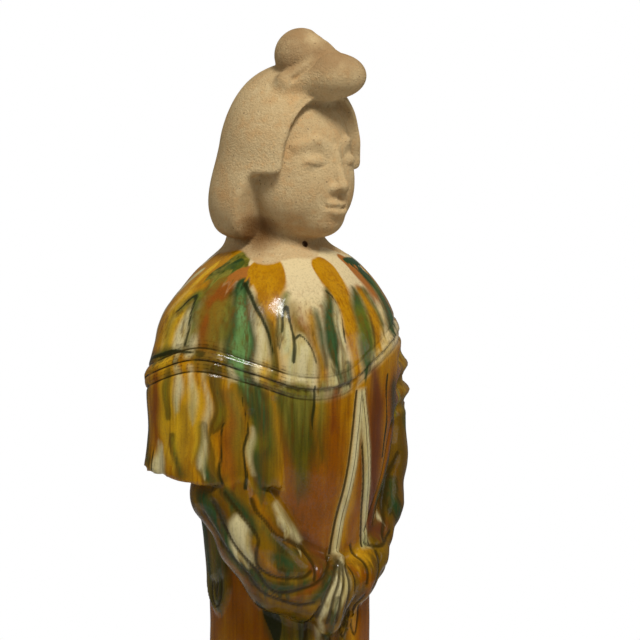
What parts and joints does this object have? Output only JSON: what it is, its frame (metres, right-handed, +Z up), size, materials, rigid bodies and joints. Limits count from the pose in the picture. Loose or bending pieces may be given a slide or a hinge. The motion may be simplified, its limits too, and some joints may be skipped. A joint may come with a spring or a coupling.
{
  "type": "glazed pottery court lady figure",
  "caption": "Standing pottery court lady with a bobbed hair style and topknot, a shoulder cape, joined sleeves and a long robe, made in one piece with a low oval plinth",
  "frame": {"origin": "on the surface that the figure stands on, under the plinth's flat underside, on the line up the middle of the figure", "axes": "+Z up, the figure faces -Y, its right arm is at -X and its left arm at +X"},
  "size_m": [0.2002, 0.1459, 0.6197],
  "materials": {
    "glazed_pottery": "glossy three-colour lead glaze in amber, green and cream, run down the robe; head, neck and plinth are bare matte buff clay"
  },
  "bodies": {
    "root": {"court_lady": "glazed_pottery"}
  },
  "joints": []
}
